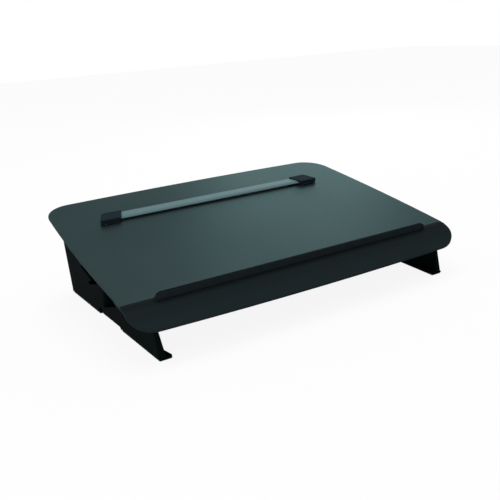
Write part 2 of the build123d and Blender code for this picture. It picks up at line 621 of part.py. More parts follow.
# Front beam of the cradle, with the two ears that hang on the pivot screws
with BuildPart() as front_beam:
    with BuildSketch(SIDE.offset(-EAR_OUTER)):
        with BuildLine():
            Polyline(*beam_points(*FRONT_BEAM), close=True)
        make_face()
    extrude(amount=2 * EAR_OUTER)
    for x in (-EAR_OUTER, EAR_OUTER - EAR_T):
        with BuildSketch(SIDE.offset(x)):
            with BuildLine():
                Polyline((FRONT_BEAM[1], BEAM_TOP), (FRONT_BEAM[1], BEAM_BOTTOM),
                         (PIVOT_S, PIVOT_H - EAR_R), (PIVOT_S, PIVOT_H + EAR_R), close=True)
            make_face()
            with Locations((PIVOT_S, PIVOT_H)):
                Circle(EAR_R)
                Circle(BUSH_R + FIT_GAP, mode=Mode.SUBTRACT)
        extrude(amount=EAR_T)
    with BuildSketch(SLOPE.offset(BEAM_TOP)):
        with Locations(*beam_rivets(FRONT_BEAM)):
            Circle(RIVET_R + FIT_GAP)
    extrude(amount=-BEAM_WALL, mode=Mode.SUBTRACT)
front_beam.part.label = "front_beam"
export_step(front_beam.part, "parts/front_beam.step")

# Middle beam, with the ears that hold the prop's pins
with BuildPart() as middle_beam:
    with BuildSketch(SIDE.offset(-MID_EAR_OUTER)):
        with BuildLine():
            Polyline(*beam_points(*MID_BEAM), close=True)
        make_face()
    extrude(amount=2 * MID_EAR_OUTER)
    for x in (-MID_EAR_OUTER, MID_EAR_OUTER - EAR_T):
        with BuildSketch(SIDE.offset(x)):
            with BuildLine():
                Polyline((MID_BEAM[0], BEAM_TOP), (MID_BEAM[1], BEAM_TOP), (MID_BEAM[1], BEAM_BOTTOM),
                         (PROP_S + MID_EAR_HALF, PROP_H - MID_EAR_DROP),
                         (PROP_S - MID_EAR_HALF, PROP_H - MID_EAR_DROP),
                         (MID_BEAM[0], BEAM_BOTTOM), close=True)
            make_face()
            with Locations((PROP_S, PROP_H)):
                Circle(PIVOT_R + FIT_GAP, mode=Mode.SUBTRACT)
        extrude(amount=EAR_T)
    with BuildSketch(SLOPE.offset(BEAM_TOP)):
        with Locations(*beam_rivets(MID_BEAM)):
            Circle(RIVET_R + FIT_GAP)
    extrude(amount=-BEAM_WALL, mode=Mode.SUBTRACT)
middle_beam.part.label = "middle_beam"
export_step(middle_beam.part, "parts/middle_beam.step")

# Rear beam, a plain channel
with BuildPart() as rear_beam:
    with BuildSketch(SIDE.offset(-REAR_BEAM_HALF)):
        with BuildLine():
            Polyline(*beam_points(*REAR_BEAM), close=True)
        make_face()
    extrude(amount=2 * REAR_BEAM_HALF)
    with BuildSketch(SLOPE.offset(BEAM_TOP)):
        with Locations(*beam_rivets(REAR_BEAM)):
            Circle(RIVET_R + FIT_GAP)
    extrude(amount=-BEAM_WALL, mode=Mode.SUBTRACT)
rear_beam.part.label = "rear_beam"
export_step(rear_beam.part, "parts/rear_beam.step")

# Rails: rolled channels that hold the board's runners, open in front
with BuildPart() as left_rail:
    with BuildSketch(Plane(origin=SLOPE.from_local_coords((-RAIL_X, RAIL_START, 0)),
                           x_dir=(1, 0, 0), z_dir=-SLOPE.y_dir)):
        with BuildLine():
            Polyline((-RAIL_HALF, BEAM_TOP), (RAIL_HALF, BEAM_TOP), (RAIL_HALF, RAIL_TOP),
                     (STEM_HALF + RUN_GAP, RAIL_TOP), (STEM_HALF + RUN_GAP, RAIL_TOP - RAIL_WALL),
                     (RAIL_HALF - RAIL_WALL, RAIL_TOP - RAIL_WALL),
                     (RAIL_HALF - RAIL_WALL, BEAM_TOP + RAIL_WALL),
                     (-RAIL_HALF + RAIL_WALL, BEAM_TOP + RAIL_WALL),
                     (-RAIL_HALF + RAIL_WALL, RAIL_TOP - RAIL_WALL),
                     (-STEM_HALF - RUN_GAP, RAIL_TOP - RAIL_WALL),
                     (-STEM_HALF - RUN_GAP, RAIL_TOP), (-RAIL_HALF, RAIL_TOP), close=True)
        make_face()
    extrude(amount=-(RAIL_END - RAIL_START))
    with BuildSketch(SLOPE.offset(BEAM_TOP)):
        with Locations(*[(-RAIL_X, (start + end) / 2) for start, end in BEAMS]):
            Circle(RIVET_R + FIT_GAP)
    extrude(amount=RAIL_WALL, mode=Mode.SUBTRACT)
left_rail.part.label = "left_rail"
export_step(left_rail.part, "parts/left_rail.step")
with BuildPart() as right_rail:
    mirror(left_rail.part, about=Plane.YZ)
right_rail.part.label = "right_rail"
export_step(right_rail.part, "parts/right_rail.step")

# Rivets that join the rails to the beams, flush inside the rails
with BuildPart() as rail_rivets:
    with BuildSketch(SLOPE.offset(BEAM_TOP + RAIL_WALL)):
        with Locations(*RAIL_RIVETS):
            Circle(RIVET_R)
    extrude(amount=-RAIL_WALL - BEAM_WALL)
    with BuildSketch(SLOPE.offset(BEAM_TOP - BEAM_WALL)):
        with Locations(*RAIL_RIVETS):
            Circle(RIVET_HEAD_R)
    extrude(amount=-RIVET_TAIL_T)
rail_rivets.part.label = "rail_rivets"
export_step(rail_rivets.part, "parts/rail_rivets.step")

# Rear buffers: rubber plugs that close the rails behind the runners
with BuildPart() as rail_buffers:
    with BuildSketch(Plane(origin=SLOPE.from_local_coords((0, RAIL_END, 0)), x_dir=(1, 0, 0),
                           z_dir=-SLOPE.y_dir)):
        with Locations(*[(side * RAIL_X, (BEAM_TOP + RAIL_TOP) / 2) for side in (-1, 1)]):
            Rectangle(2 * (RAIL_HALF - RAIL_WALL - RAIL_BUFFER_GAP),
                      RAIL_TOP - BEAM_TOP - 2 * (RAIL_WALL + RAIL_BUFFER_GAP))
    extrude(amount=RAIL_BUFFER_T)
rail_buffers.part.label = "rail_buffers"
export_step(rail_buffers.part, "parts/rail_buffers.step")

# Front buffer: a rubber block on the front beam that the stop block meets
with BuildPart() as front_buffer:
    with BuildSketch(SLOPE.offset(BEAM_TOP)):
        with Locations((0, BUFFER_S)):
            RectangleRounded(BUFFER_WIDTH, BUFFER_DEPTH, BLOCK_ROUND)
    extrude(amount=BUFFER_T)
front_buffer.part.label = "front_buffer"
export_step(front_buffer.part, "parts/front_buffer.step")

# Prop arms, their pins and the rod that drops into the hooks
with BuildPart() as left_prop_arm:
    with BuildSketch(SIDE.offset(-ARM_OUTER)):
        with Locations((PROP_S, PROP_H), (ROD_S, ROD_H)):
            Circle(ARM_R)
        with BuildLine():
            side_s = ARM_R * sin(radians(PROP_REST))
            side_h = ARM_R * cos(radians(PROP_REST))
            Polyline((PROP_S + side_s, PROP_H + side_h), (ROD_S + side_s, ROD_H + side_h),
                     (ROD_S - side_s, ROD_H - side_h), (PROP_S - side_s, PROP_H - side_h), close=True)
        make_face()
        with Locations((PROP_S, PROP_H), (ROD_S, ROD_H)):
            Circle(PIVOT_R + FIT_GAP, mode=Mode.SUBTRACT)
    extrude(amount=ARM_T)
left_prop_arm.part.label = "left_prop_arm"
export_step(left_prop_arm.part, "parts/left_prop_arm.step")
with BuildPart() as right_prop_arm:
    mirror(left_prop_arm.part, about=Plane.YZ)
right_prop_arm.part.label = "right_prop_arm"
export_step(right_prop_arm.part, "parts/right_prop_arm.step")
with BuildPart() as prop_pins:
    with BuildSketch(SIDE.offset(-ARM_OUTER - PIN_GAP)):
        with Locations((PROP_S, PROP_H)):
            Circle(PIVOT_R)
    extrude(amount=PIN_GAP + ARM_OUTER - MID_EAR_OUTER + EAR_T)
    with BuildSketch(SIDE.offset(-ARM_OUTER - PIN_GAP)):
        with Locations((PROP_S, PROP_H)):
            Circle(PIN_HEAD_R)
    extrude(amount=-PIN_HEAD_T)
    with BuildSketch(SIDE.offset(-MID_EAR_OUTER + EAR_T)):
        with Locations((PROP_S, PROP_H)):
            Circle(PIN_TAIL_R)
    extrude(amount=PIN_HEAD_T)
    mirror(about=Plane.YZ)
prop_pins.part.label = "prop_pins"
export_step(prop_pins.part, "parts/prop_pins.step")
with BuildPart() as prop_rod:
    with BuildSketch(SIDE.offset(-SIDE_X - ROD_PROUD)):
        with Locations((ROD_S, ROD_H)):
            Circle(ROD_R)
    extrude(amount=2 * (SIDE_X + ROD_PROUD))
prop_rod.part.label = "prop_rod"
export_step(prop_rod.part, "parts/prop_rod.step")
with BuildPart() as rod_caps:
    with BuildSketch(SIDE.offset(-SIDE_X - ROD_PROUD)):
        with Locations((ROD_S, ROD_H)):
            Circle(ROD_CAP_R)
    extrude(amount=-ROD_CAP_T)
    mirror(about=Plane.YZ)
rod_caps.part.label = "rod_caps"
export_step(rod_caps.part, "parts/rod_caps.step")
with BuildPart() as rod_collars:
    with BuildSketch(SIDE.offset(-ARM_OUTER + ARM_T + COLLAR_GAP)):
        with Locations((ROD_S, ROD_H)):
            Circle(COLLAR_R)
            Circle(ROD_R + COLLAR_FIT, mode=Mode.SUBTRACT)
    extrude(amount=COLLAR_T)
    mirror(about=Plane.YZ)
rod_collars.part.label = "rod_collars"
export_step(rod_collars.part, "parts/rod_collars.step")

# Runners under the board, which slide in the rails
with BuildPart() as left_runner:
    with BuildSketch(SLOPE.offset(RAIL_TOP - RAIL_WALL - RUN_GAP)):
        with Locations((-RAIL_X, (RUNNER_START + RUNNER_END) / 2)):
            Rectangle(2 * (RAIL_HALF - RAIL_WALL - RUN_GAP), RUNNER_END - RUNNER_START)
    extrude(amount=-(RAIL_TOP - BEAM_TOP - 2 * RAIL_WALL - 2 * RUN_GAP))
    with BuildSketch(SLOPE.offset(RAIL_TOP - RAIL_WALL - RUN_GAP)):
        with Locations((-RAIL_X, (RUNNER_START + RUNNER_END) / 2)):
            Rectangle(2 * STEM_HALF, RUNNER_END - RUNNER_START)
    extrude(amount=-BOARD_T - RAIL_TOP + RAIL_WALL + RUN_GAP)
left_runner.part.label = "left_runner"
export_step(left_runner.part, "parts/left_runner.step")
with BuildPart() as right_runner:
    mirror(left_runner.part, about=Plane.YZ)
right_runner.part.label = "right_runner"
export_step(right_runner.part, "parts/right_runner.step")

# Stop block under the board, which meets the front buffer at the end of the glide
with BuildPart() as stop_block:
    with BuildSketch(SLOPE.offset(-BOARD_T)):
        with Locations((0, STOP_S)):
            RectangleRounded(STOP_WIDTH, STOP_DEPTH, BLOCK_ROUND)
    extrude(amount=-STOP_T)
stop_block.part.label = "stop_block"
export_step(stop_block.part, "parts/stop_block.step")

# Screws under the lip: through the tongue to the board, and up into the ledge
with BuildPart() as lip_screws:
    with BuildSketch(SLOPE.offset(-BOARD_T)):
        with Locations(*LIP_SCREWS):
            Circle(LIP_SCREW_R)
    extrude(amount=-LIP_T)
    with BuildSketch(SLOPE.offset(-BOARD_T - LIP_T)):
        with Locations(*LIP_SCREWS):
            Circle(LIP_SCREW_HEAD_R)
    extrude(amount=-LIP_SCREW_HEAD_T)
lip_screws.part.label = "lip_screws"
export_step(lip_screws.part, "parts/lip_screws.step")
with BuildPart() as ledge_screws:
    with BuildSketch(SLOPE.offset(LEDGE_SCREW_SEAT)):
        with Locations(*LEDGE_SCREWS):
            Circle(LEDGE_SCREW_R)
    extrude(amount=LEDGE_SCREW_REACH - LEDGE_SCREW_SEAT)
    with BuildSketch(SLOPE.offset(LEDGE_SCREW_SEAT)):
        with Locations(*LEDGE_SCREWS):
            Circle(LEDGE_SCREW_HEAD_R)
    extrude(amount=-LEDGE_SCREW_HEAD_T)
ledge_screws.part.label = "ledge_screws"
export_step(ledge_screws.part, "parts/ledge_screws.step")

# Document bar: an aluminium strip in two skewed end caps with magnets and slide pads.
# Its plane lies on the board with its origin at the bar's middle, BAR_SIDE stands across it
BAR = Plane(SLOPE.from_local_coords((BAR_X, BAR_MID, 0)), x_dir=SLOPE.x_dir, z_dir=SLOPE.z_dir)
BAR_SIDE = Plane(BAR.origin, x_dir=BAR.y_dir, z_dir=BAR.x_dir)
BAR_MIDDLE = Plane.YZ.offset(BAR_X)
with BuildSketch(Plane.XY) as strip_profile:
    with BuildLine():
        Polyline((BAR_STRIP_FRONT, BAR_STRIP_NOSE), (BAR_STRIP_FRONT, BAR_STRIP_BOTTOM),
                 (BAR_STRIP_BACK, BAR_STRIP_BOTTOM), (BAR_STRIP_BACK, BAR_STRIP_TOP),
                 (BAR_STRIP_FLAT, BAR_STRIP_TOP))
        TangentArc((BAR_STRIP_FLAT, BAR_STRIP_TOP), (BAR_STRIP_FRONT, BAR_STRIP_NOSE), tangent=(-1, 0))
    make_face()
    fillet(near(strip_profile.vertices(), (BAR_STRIP_BACK, BAR_STRIP_TOP)), BAR_STRIP_EDGE)
with BuildPart() as bar_strip:
    with BuildSketch(BAR_SIDE.offset(-BAR_STRIP_HALF)):
        add(strip_profile.sketch)
    extrude(amount=2 * BAR_STRIP_HALF)
bar_strip.part.label = "bar_strip"
export_step(bar_strip.part, "parts/bar_strip.step")

# The skewed plan of the left end cap: its ends splay outwards towards the user
with BuildPart() as left_bar_cap:
    with BuildSketch(BAR.offset(CAP_BOTTOM)) as cap_sketch:
        with BuildLine():
            Polyline((-CAP_INNER + CAP_SKEW, CAP_HALF_DEPTH),
                     (-CAP_INNER - CAP_WIDTH + CAP_SKEW, CAP_HALF_DEPTH),
                     (-CAP_INNER - CAP_WIDTH - CAP_SKEW, -CAP_HALF_DEPTH),
                     (-CAP_INNER - CAP_SKEW, -CAP_HALF_DEPTH), close=True)
        make_face()
        fillet(cap_sketch.vertices(), CAP_ROUND)
    extrude(amount=CAP_TOP - CAP_BOTTOM)
    fillet(left_bar_cap.faces().sort_by(SLOPE_AXIS)[-1].edges(), CAP_EDGE)
    with BuildSketch(BAR_SIDE.offset(-BAR_STRIP_HALF - BAR_FIT)):
        add(strip_profile.sketch)
        offset(amount=BAR_FIT, mode=Mode.REPLACE)
    extrude(amount=BAR_STRIP_HALF, mode=Mode.SUBTRACT)
    with BuildSketch(BAR.offset(CAP_BOTTOM)):
        with Locations(*MAGNET_PLACES):
            Circle(MAGNET_R + BAR_FIT)
    extrude(amount=MAGNET_T - MAGNET_PROUD + BAR_FIT, mode=Mode.SUBTRACT)
left_bar_cap.part.label = "left_bar_cap"
export_step(left_bar_cap.part, "parts/left_bar_cap.step")
with BuildPart() as right_bar_cap:
    mirror(left_bar_cap.part, about=BAR_MIDDLE)
right_bar_cap.part.label = "right_bar_cap"
export_step(right_bar_cap.part, "parts/right_bar_cap.step")
with BuildPart() as bar_magnets:
    with BuildSketch(BAR.offset(CAP_BOTTOM - MAGNET_PROUD)):
        with Locations(*MAGNET_PLACES):
            Circle(MAGNET_R)
    extrude(amount=MAGNET_T)
    mirror(about=BAR_MIDDLE)
bar_magnets.part.label = "bar_magnets"
export_step(bar_magnets.part, "parts/bar_magnets.step")
with BuildPart() as bar_pads:
    with BuildSketch(BAR.offset(SLIDE_PAD_GAP)):
        for pad_s in (-SLIDE_PAD_S, SLIDE_PAD_S):
            pad_x = -CAP_INNER - CAP_WIDTH / 2 + CAP_SKEW * pad_s / CAP_HALF_DEPTH
            with Locations((pad_x, pad_s)):
                Rectangle(SLIDE_PAD_WIDTH, SLIDE_PAD_DEPTH)
    extrude(amount=CAP_BOTTOM - SLIDE_PAD_GAP)
    mirror(about=BAR_MIDDLE)
bar_pads.part.label = "bar_pads"
export_step(bar_pads.part, "parts/bar_pads.step")
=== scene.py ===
import bpy
import json
from math import cos, radians, sin
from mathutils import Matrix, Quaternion, Vector

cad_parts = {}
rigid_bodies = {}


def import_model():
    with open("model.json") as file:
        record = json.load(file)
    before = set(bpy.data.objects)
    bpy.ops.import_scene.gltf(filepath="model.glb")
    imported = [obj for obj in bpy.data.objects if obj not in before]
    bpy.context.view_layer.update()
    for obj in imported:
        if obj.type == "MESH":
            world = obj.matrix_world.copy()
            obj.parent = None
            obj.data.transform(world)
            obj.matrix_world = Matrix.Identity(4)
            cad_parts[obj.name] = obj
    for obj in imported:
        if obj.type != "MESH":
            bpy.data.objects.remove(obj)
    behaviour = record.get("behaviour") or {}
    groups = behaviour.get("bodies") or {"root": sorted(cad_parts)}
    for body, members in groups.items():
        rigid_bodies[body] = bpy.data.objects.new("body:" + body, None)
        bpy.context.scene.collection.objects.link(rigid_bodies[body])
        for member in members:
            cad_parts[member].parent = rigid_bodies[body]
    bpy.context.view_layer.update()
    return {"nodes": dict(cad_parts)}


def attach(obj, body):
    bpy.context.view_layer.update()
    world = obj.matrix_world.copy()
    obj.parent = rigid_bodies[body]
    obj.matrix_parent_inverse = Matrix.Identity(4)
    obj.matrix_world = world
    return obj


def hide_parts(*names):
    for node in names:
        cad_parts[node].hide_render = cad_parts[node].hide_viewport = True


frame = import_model()


# Side plates, cross panel and rear tie: folded sheet steel with a thick black
# powder coat. It is matt, and pebbled where the grains of the powder flowed
# together in the oven. The panel's rivets are coated with the sheets they join.
def new_material(name):
    """An empty material: its node tree, its shader and the piece's own coordinates."""
    material = bpy.data.materials.new(name)
    material.use_nodes = True
    tree = material.node_tree
    tree.nodes.clear()
    output = tree.nodes.new("ShaderNodeOutputMaterial")
    output.name = "Material Output"
    shader = tree.nodes.new("ShaderNodeBsdfPrincipled")
    tree.links.new(shader.outputs["BSDF"], output.inputs["Surface"])
    place = tree.nodes.new("ShaderNodeTexCoord")
    return material, tree, shader, place.outputs["Object"]


def speckle(tree, place, scale, detail):
    """A noise pattern on the piece's own coordinates; scale is in grains per metre."""
    noise = tree.nodes.new("ShaderNodeTexNoise")
    noise.inputs["Scale"].default_value = scale
    noise.inputs["Detail"].default_value = detail
    tree.links.new(place, noise.inputs["Vector"])
    return noise.outputs["Fac"]


def between(tree, value, low, high, to_low, to_high):
    """Maps a value from one range to another."""
    mapping = tree.nodes.new("ShaderNodeMapRange")
    mapping.inputs["From Min"].default_value = low
    mapping.inputs["From Max"].default_value = high
    mapping.inputs["To Min"].default_value = to_low
    mapping.inputs["To Max"].default_value = to_high
    tree.links.new(value, mapping.inputs["Value"])
    return mapping.outputs["Result"]


NOISE_LOW = 0.3  # the range that a noise pattern mostly keeps to
NOISE_HIGH = 0.7


def tint(tree, pattern, dark, light, low=NOISE_LOW, high=NOISE_HIGH):
    """Runs a pattern from one colour to another."""
    ramp = tree.nodes.new("ShaderNodeValToRGB")
    ramp.color_ramp.elements[0].position = low
    ramp.color_ramp.elements[0].color = (*dark, 1)
    ramp.color_ramp.elements[1].position = high
    ramp.color_ramp.elements[1].color = (*light, 1)
    tree.links.new(pattern, ramp.inputs["Fac"])
    return ramp.outputs["Color"]


def colour_by(tree, shader, pattern, dark, light, **ends):
    """Gives the surface two shades that a pattern runs between."""
    tree.links.new(tint(tree, pattern, dark, light, **ends), shader.inputs["Base Color"])


def gloss_by(tree, shader, pattern, smooth, rough):
    """Varies the surface's roughness by a pattern."""
    roughness = between(tree, pattern, NOISE_LOW, NOISE_HIGH, smooth, rough)
    tree.links.new(roughness, shader.inputs["Roughness"])


def relief(tree, shader, height, depth, strength=0.5):
    """Bump on the surface, with its depth in metres."""
    bump = tree.nodes.new("ShaderNodeBump")
    bump.inputs["Distance"].default_value = depth
    bump.inputs["Strength"].default_value = strength
    tree.links.new(height, bump.inputs["Height"])
    tree.links.new(bump.outputs["Normal"], shader.inputs["Normal"])


def finish(piece, material):
    """Gives a piece its material."""
    piece.data.materials.clear()
    piece.data.materials.append(material)


def finish_nodes(material, *names):
    """Gives nodes of the frame their material."""
    for name in names:
        finish(frame["nodes"][name], material)


powder_black, tree, shader, place = new_material("black_powder_coat")
grains = speckle(tree, place, scale=1400, detail=3)
patches = speckle(tree, place, scale=22, detail=3)
colour_by(tree, shader, patches, dark=(0.0024, 0.0048, 0.0048), light=(0.0032, 0.0060, 0.0060))
gloss_by(tree, shader, grains, smooth=0.48, rough=0.68)
shader.inputs["Specular IOR Level"].default_value = 0.003
relief(tree, shader, grains, depth=0.00012, strength=0.6)
finish_nodes(powder_black, "left_side_plate", "right_side_plate", "cross_panel", "rear_tie",
             "panel_rivets")

# Front, middle and rear beams of the cradle: channels folded from sheet steel, with
# the same coat. The rails are riveted across them, and the front one has the ears
# that the cradle turns on.
finish_nodes(powder_black, "front_beam", "middle_beam", "rear_beam")

# Rails, prop arms, pins and nuts: steel with a bright zinc plate that is faintly
# blue and cloudy. The plain screws and rivets of the frame get it too, and the
# turned ones that take their place are made below.
zinc_plate, tree, shader, place = new_material("zinc_plate")
clouds = speckle(tree, place, scale=60, detail=4)
spangle = speckle(tree, place, scale=900, detail=2)
colour_by(tree, shader, clouds, dark=(0.42, 0.44, 0.46), light=(0.60, 0.61, 0.62))
gloss_by(tree, shader, spangle, smooth=0.28, rough=0.42)
shader.inputs["Metallic"].default_value = 1.0
relief(tree, shader, spangle, depth=0.00003)
finish_nodes(zinc_plate, "left_rail", "right_rail", "left_prop_arm", "right_prop_arm",
             "prop_pins", "pivot_nuts", "pivot_screws", "tie_screws", "lip_screws",
             "ledge_screws", "rail_rivets")

# Prop rod and its collars: turned steel, blackened in a hot bath, with an oily
# sheen that varies in small clouds. The collars sit just inside the arms and keep
# the rod in its place.
black_steel, tree, shader, place = new_material("blackened_steel")
bloom = speckle(tree, place, scale=150, detail=4)
colour_by(tree, shader, bloom, dark=(0.010, 0.010, 0.011), light=(0.022, 0.021, 0.022))
gloss_by(tree, shader, bloom, smooth=0.34, rough=0.48)
shader.inputs["Metallic"].default_value = 0.9
finish_nodes(black_steel, "prop_rod", "rod_collars")

# Glide strips, bushes and the bar's pads: natural nylon, slightly waxy. The strips
# edge the side plates under the board, the bushes line the pivots, and the pads
# carry the bar over the board's coat.
nylon, tree, shader, place = new_material("natural_nylon")
haze = speckle(tree, place, scale=180, detail=3)
colour_by(tree, shader, haze, dark=(0.55, 0.53, 0.48), light=(0.66, 0.64, 0.59))
gloss_by(tree, shader, haze, smooth=0.38, rough=0.5)
shader.inputs["Subsurface Weight"].default_value = 0.1
shader.inputs["Subsurface Radius"].default_value = (0.002, 0.002, 0.0018)
finish_nodes(nylon, "left_glide_strip", "right_glide_strip", "pivot_bushes", "bar_pads")

# Foot pads and buffers: black rubber, matt and slightly dusty. The pads are strips
# glued under the feet, the rail buffers are plugs that close the rails, and the
# front buffer is a block on the front beam.
rubber, tree, shader, place = new_material("black_rubber")
dust = speckle(tree, place, scale=500, detail=4)
colour_by(tree, shader, dust, dark=(0.010, 0.010, 0.010), light=(0.020, 0.020, 0.020),
          low=0.35, high=0.75)
gloss_by(tree, shader, dust, smooth=0.72, rough=0.88)
shader.inputs["Specular IOR Level"].default_value = 0.2
relief(tree, shader, dust, depth=0.00008)
finish_nodes(rubber, "foot_pads", "rail_buffers", "front_buffer")

# Runners and stop block: black acetal, machined smooth. They are fixed under the
# board: the runners slide in the rails, and the block meets the front buffer.
acetal, tree, shader, place = new_material("black_acetal")
wear = speckle(tree, place, scale=240, detail=3)
colour_by(tree, shader, wear, dark=(0.014, 0.014, 0.015), light=(0.022, 0.022, 0.023))
gloss_by(tree, shader, wear, smooth=0.3, rough=0.45)
shader.inputs["Specular IOR Level"].default_value = 0.3
finish_nodes(acetal, "left_runner", "right_runner", "stop_block")

# Board: one sheet of thin steel with a satin slate-grey powder coat, which has a
# fine orange peel and a slow drift of shade. The magnets of the document bar hold
# on to the steel under the coat.
board_coat, tree, shader, place = new_material("slate_satin_coat")
peel = speckle(tree, place, scale=700, detail=2)
drift = speckle(tree, place, scale=9, detail=2)
colour_by(tree, shader, drift, dark=(0.0262, 0.0392, 0.0414), light=(0.0300, 0.0440, 0.0463))
gloss_by(tree, shader, peel, smooth=0.36, rough=0.44)
shader.inputs["Metallic"].default_value = 0.9
shader.inputs["Specular IOR Level"].default_value = 0.01
shader.inputs["Specular Tint"].default_value = (0.55, 0.645, 0.645, 1)
relief(tree, shader, peel, depth=0.00004)
finish_nodes(board_coat, "board_plate")

# Front lip: a moulded shell of nearly black plastic with a fine satin spark
# texture, screwed under the board's front edge. Its colour carries painted light:
# a painted highlight along the joint, a painted shade just below it, and a
# painted reflection, a little lighter, down its front.
SLOPE = radians(10.8)
EDGE = Vector((0, -0.1322, 0.0666))  # the joint of board and lip runs along X through it
UP = Vector((0, cos(SLOPE), sin(SLOPE)))  # up the slope, to the board's back edge
LIP_DEPTH = 0.045  # the lip's reach down the slope from the joint
# The lip's colours are painted light, from the joint down: painted highlight, painted shade, then
# painted reflection.
LIP_PAINTED_LIGHT = (  # the share of that reach, and the colour there
    (0.00, (0.0092, 0.0147, 0.0166, 1)),
    (0.12, (0.0062, 0.0096, 0.0114, 1)),
    (0.40, (0.0108, 0.0171, 0.0190, 1)),
    (0.75, (0.0127, 0.0204, 0.0223, 1)),
)


def along(tree, vector, direction):
    """How far a vector reaches in a direction."""
    product = tree.nodes.new("ShaderNodeVectorMath")
    product.operation = "DOT_PRODUCT"
    product.inputs[1].default_value = direction
    tree.links.new(vector, product.inputs[0])
    return product.outputs["Value"]


lip_plastic, tree, shader, place = new_material("satin_black_moulding")
spark = speckle(tree, place, scale=1800, detail=2)
joint = EDGE.dot(UP)
down = between(tree, along(tree, place, UP), joint, joint - LIP_DEPTH, 0.0, 1.0)
# This ramp paints that highlight, shade and reflection down the lip.
lip_painted_light_ramp = tree.nodes.new("ShaderNodeValToRGB")
lip_painted_light_ramp.color_ramp.interpolation = "EASE"
stops = lip_painted_light_ramp.color_ramp.elements
stops.remove(stops[1])
stops[0].position, stops[0].color = LIP_PAINTED_LIGHT[0]
for position, colour in LIP_PAINTED_LIGHT[1:]:
    stops.new(position).color = colour
tree.links.new(down, lip_painted_light_ramp.inputs["Fac"])
flecks = tree.nodes.new("ShaderNodeMix")
flecks.data_type = "RGBA"
flecks.blend_type = "MULTIPLY"
flecks.inputs["Factor"].default_value = 1.0
tree.links.new(lip_painted_light_ramp.outputs["Color"], flecks.inputs["A"])
tree.links.new(tint(tree, spark, dark=(0.90, 0.90, 0.90), light=(1.08, 1.08, 1.08)),
               flecks.inputs["B"])
tree.links.new(flecks.outputs["Result"], shader.inputs["Base Color"])
gloss_by(tree, shader, spark, smooth=0.36, rough=0.5)
shader.inputs["Specular IOR Level"].default_value = 0.01
relief(tree, shader, spark, depth=0.00005)
finish_nodes(lip_plastic, "front_lip")

# Paper ledge: a strip of black acrylic that stands on edge on the joint, with its
# ends rounded and its edges polished. It is held by screws from below. Its upper
# face has a painted shade, darker than its front.
OUT = Vector((0, -sin(SLOPE), cos(SLOPE)))  # square out of the board
# Where a face looks out of the board, the painted shade takes over from the acrylic's colour:
PAINTED_SHADE_FROM = 0.5  # how far a face looks out where the upper colour starts
PAINTED_SHADE_FULL = 0.9  # and where it is complete
ledge_plastic, tree, shader, place = new_material("black_acrylic")
haze = speckle(tree, place, scale=120, detail=3)
front_colour = tint(tree, haze, dark=(0.0112, 0.0158, 0.0183), light=(0.0132, 0.0188, 0.0213))
# The upper face's colour is a painted shade, darker than the front.
painted_shade_colour = tint(tree, haze, dark=(0.0052, 0.0078, 0.0094), light=(0.0062, 0.0093, 0.0110))
facing = along(tree, tree.nodes.new("ShaderNodeNewGeometry").outputs["Normal"], OUT)
upper = tree.nodes.new("ShaderNodeMix")
upper.data_type = "RGBA"
tree.links.new(between(tree, facing, PAINTED_SHADE_FROM, PAINTED_SHADE_FULL, 0.0, 1.0), upper.inputs["Factor"])
tree.links.new(front_colour, upper.inputs["A"])
tree.links.new(painted_shade_colour, upper.inputs["B"])
tree.links.new(upper.outputs["Result"], shader.inputs["Base Color"])
gloss_by(tree, shader, haze, smooth=0.22, rough=0.34)
shader.inputs["Specular IOR Level"].default_value = 0.002
finish_nodes(ledge_plastic, "paper_ledge")

# Document bar's strip: aluminium drawn to a low section with a rounded front, and
# satin anodised. The fine lines of the drawing run along it, and its ends are
# pushed into the two caps.
DRAWN_OUT = 0.02  # the pattern's scale along the strip, as a share of that across it
bar_metal, tree, shader, place = new_material("satin_anodised_aluminium")
stretch = tree.nodes.new("ShaderNodeMapping")
stretch.inputs["Scale"].default_value = (DRAWN_OUT, 1, 1)
tree.links.new(place, stretch.inputs["Vector"])
draw_lines = speckle(tree, stretch.outputs["Vector"], scale=2600, detail=3)
colour_by(tree, shader, draw_lines, dark=(0.089, 0.156, 0.166), light=(0.102, 0.177, 0.189))
gloss_by(tree, shader, draw_lines, smooth=0.45, rough=0.6)
shader.inputs["Metallic"].default_value = 0.1
shader.inputs["Specular IOR Level"].default_value = 0.05
relief(tree, shader, draw_lines, depth=0.00003)
finish_nodes(bar_metal, "bar_strip")

# End caps of the bar and of the prop rod: black moulded plastic with a fine spark
# texture. The bar's caps hold the strip and the magnets, and the rod's are pushed
# on to its ends outside the side plates.
cap_plastic, tree, shader, place = new_material("black_moulding")
spark = speckle(tree, place, scale=2200, detail=2)
colour_by(tree, shader, spark, dark=(0.0122, 0.0202, 0.0245), light=(0.0142, 0.0238, 0.0288))
gloss_by(tree, shader, spark, smooth=0.4, rough=0.55)
shader.inputs["Specular IOR Level"].default_value = 0.002
relief(tree, shader, spark, depth=0.00005)
finish_nodes(cap_plastic, "left_bar_cap", "right_bar_cap", "rod_caps")

# Magnets: discs with a bright nickel plate, faintly yellow and a little rubbed.
# They are pressed into the bar's caps from below and pull the bar on to the board.
nickel, tree, shader, place = new_material("nickel_plate")
rub = speckle(tree, place, scale=1500, detail=2)
colour_by(tree, shader, rub, dark=(0.58, 0.54, 0.48), light=(0.66, 0.62, 0.56))
gloss_by(tree, shader, rub, smooth=0.15, rough=0.3)
shader.inputs["Metallic"].default_value = 1.0
finish_nodes(nickel, "bar_magnets")

